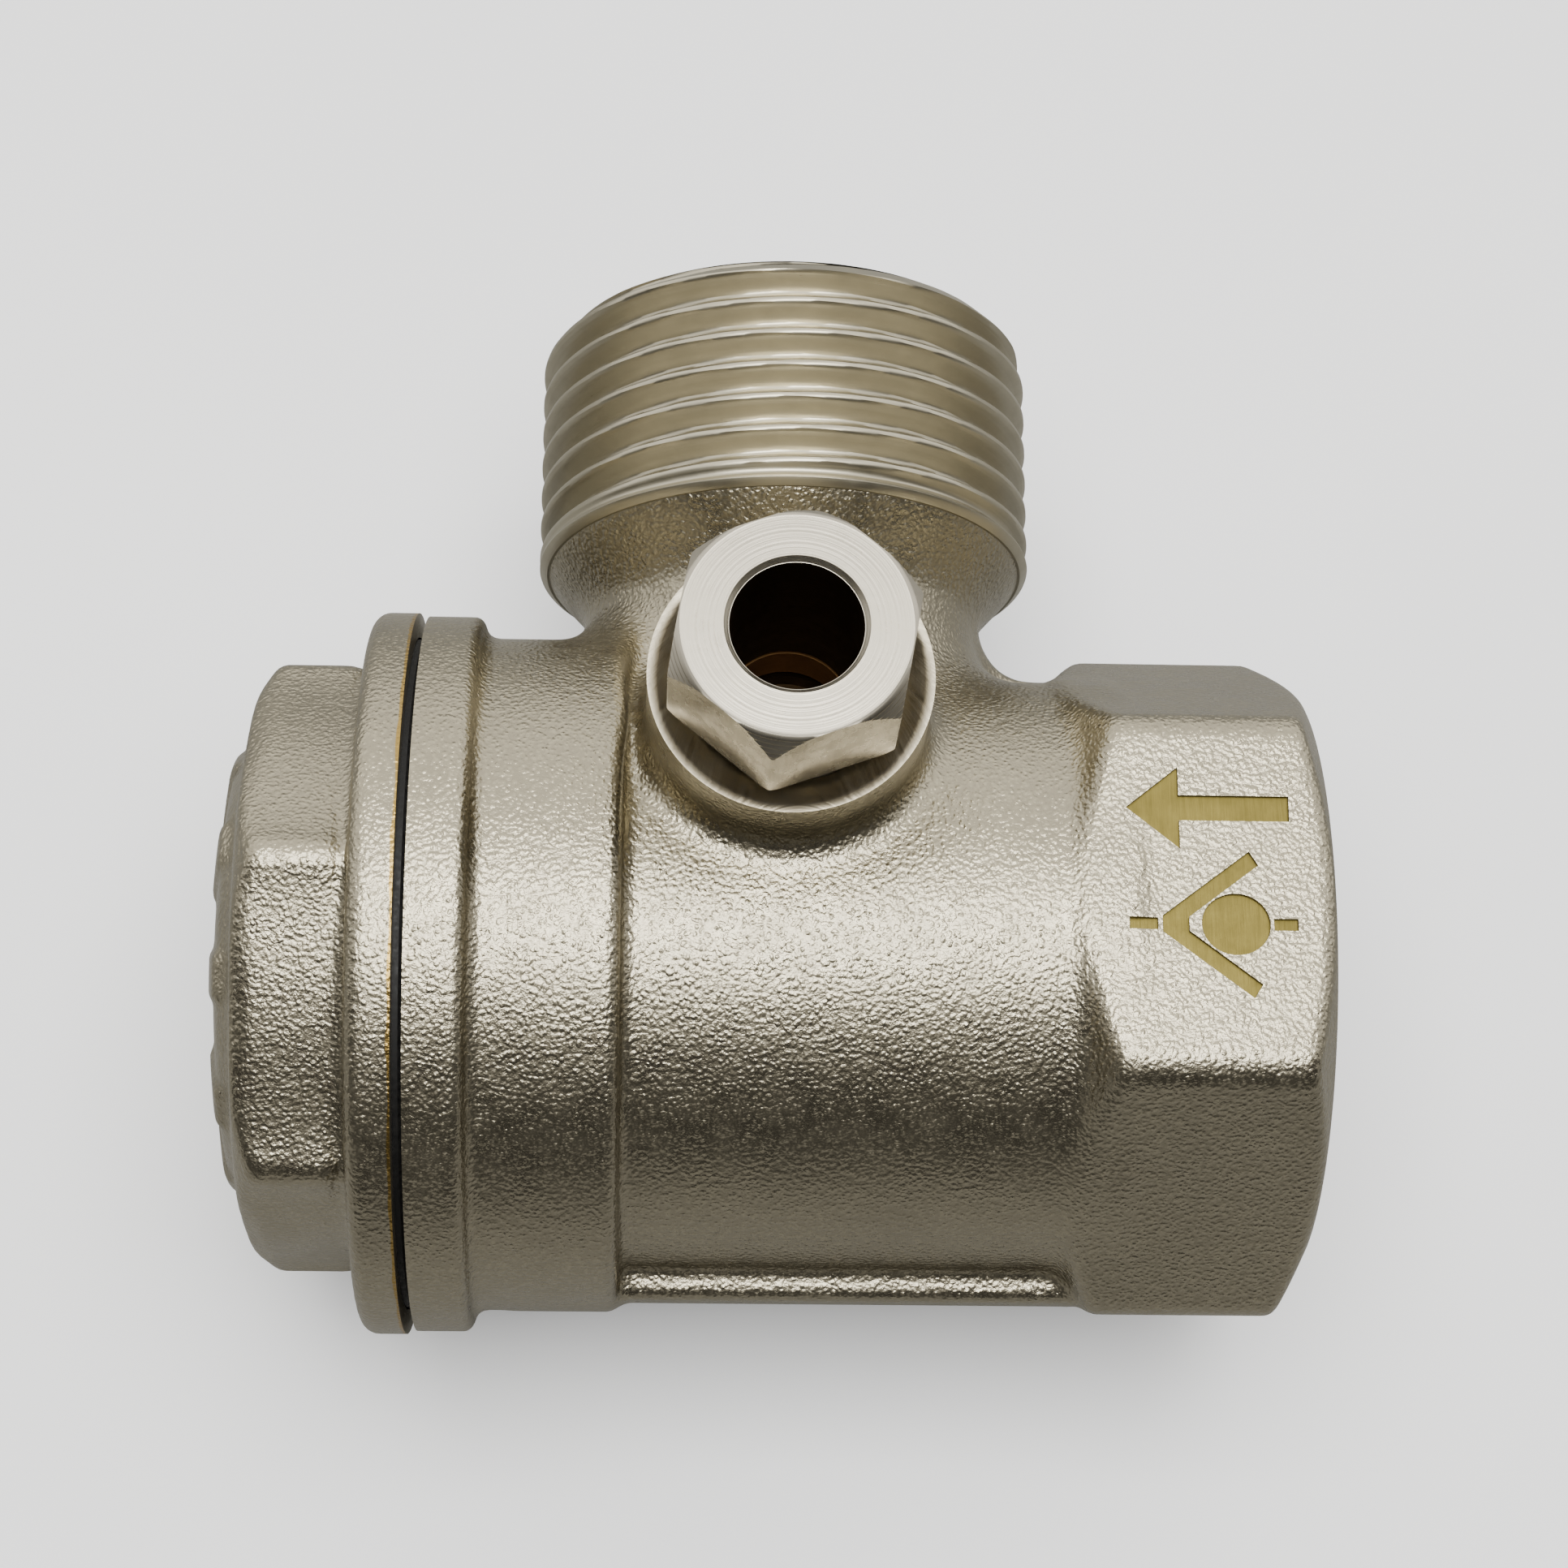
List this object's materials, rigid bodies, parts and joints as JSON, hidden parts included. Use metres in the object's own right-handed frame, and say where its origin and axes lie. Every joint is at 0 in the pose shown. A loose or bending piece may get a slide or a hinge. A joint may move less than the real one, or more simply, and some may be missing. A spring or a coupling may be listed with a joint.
{
  "type": "three-way check valve",
  "caption": "Three-way check valve with a male stub, a hexagonal female port, a compression port for small tube, a screwed end plug and a sprung piston.",
  "frame": {"origin": "middle of the base of the bounding box, under the valve as it lies with the small port up", "axes": "+X along the main axis from the end plug to the female port, +Y along the male stub, +Z along the small tube port"},
  "size_m": [0.0558, 0.054, 0.0454],
  "materials": {
    "forged_nickel": "nickel-plated forging with a sand-blasted grain, satin",
    "turned_nickel": "nickel-plated, turned, bright",
    "brass": "turned, unplated",
    "steel": "bright drawn steel",
    "black_rubber": "matt black nitrile rubber"
  },
  "bodies": {
    "valve": {"valve_body": "forged_nickel", "check_spring": "steel"},
    "piston": {"check_piston": "brass", "piston_seal": "black_rubber", "seal_washer": "steel", "seal_screw": "steel"},
    "plug_travel": {"plug_gasket": "black_rubber"},
    "plug": {"end_plug": "forged_nickel"},
    "nut_travel": {"olive": "brass"},
    "nut": {"gland_nut": "turned_nickel"}
  },
  "joints": [
    {"name": "check_lift", "type": "slide", "parent": "valve", "child": "piston", "axis": [-1, 0, 0], "range_m": [0, 0.004], "stiffness_N_per_m": 100, "springref_m": -0.005, "deforming": ["check_spring"]},
    {"name": "plug_slide", "type": "slide", "parent": "valve", "child": "plug_travel", "axis": [-1, 0, 0], "range_m": [0, 0.0076]},
    {"name": "plug_turn", "type": "hinge", "parent": "plug_travel", "child": "plug", "pos_m": [-0.01745, -0.00837, 0.01866], "axis": [-1, 0, 0], "range_deg": [0, 1800]},
    {"name": "nut_slide", "type": "slide", "parent": "valve", "child": "nut_travel", "axis": [0, 0, 1], "range_m": [0, 0.0031]},
    {"name": "nut_turn", "type": "hinge", "parent": "nut_travel", "child": "nut", "pos_m": [0.00115, 0.00083, 0.03866], "axis": [0, 0, 1], "range_deg": [0, 1080]}
  ],
  "couplings": [
    {"joint": "plug_slide", "follows": "plug_turn", "m_per_rad": 0.00023873},
    {"joint": "nut_slide", "follows": "nut_turn", "m_per_rad": 0.00015915}
  ]
}
